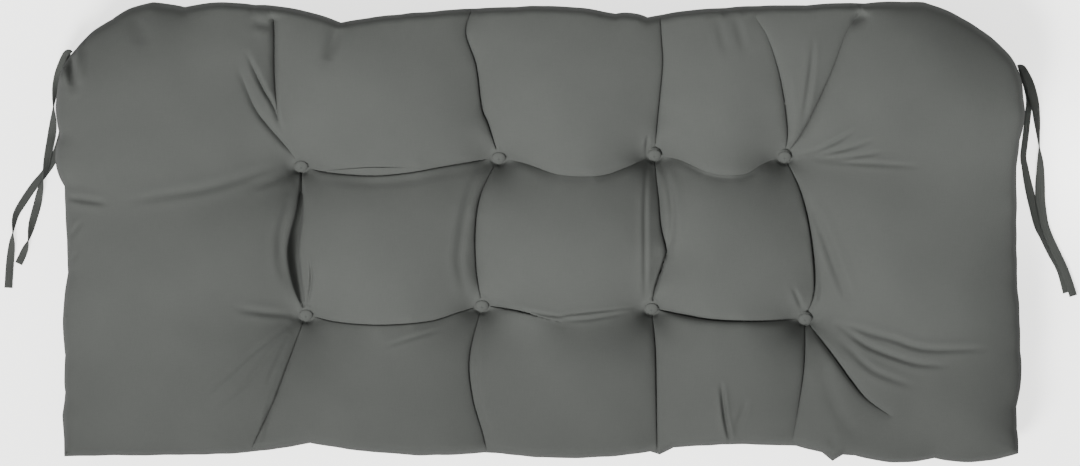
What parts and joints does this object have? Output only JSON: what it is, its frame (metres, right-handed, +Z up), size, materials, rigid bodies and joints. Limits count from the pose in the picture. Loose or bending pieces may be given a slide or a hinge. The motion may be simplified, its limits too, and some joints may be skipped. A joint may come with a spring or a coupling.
{
  "type": "tufted bench cushion",
  "caption": "Long knife-edge bench cushion with rounded back corners, button tufts drawn into the face, deep creases between them and cloth ties at the back corners.",
  "frame": {"origin": "middle of the underside, on the surface the cushion lies on, the free ties left out", "axes": "+X along the width, +Y to the back edge with the rounded corners, +Z up out of the buttoned face"},
  "size_m": [1.1527, 0.4931, 0.1158],
  "materials": {
    "cover_cloth": "matte plain-weave spun polyester, charcoal grey",
    "button_cloth": "the same cloth drawn over a button",
    "tie_cloth": "the same cloth, cut in strips and folded"
  },
  "bodies": {
    "root": {"cushion": "cover_cloth", "button_back_1": "button_cloth", "button_back_2": "button_cloth", "button_back_3": "button_cloth", "button_back_4": "button_cloth", "button_front_1": "button_cloth", "button_front_2": "button_cloth", "button_front_3": "button_cloth", "button_front_4": "button_cloth", "tie_left_over": "tie_cloth", "tie_left_under": "tie_cloth", "tie_right_over": "tie_cloth", "tie_right_under": "tie_cloth"}
  },
  "joints": []
}
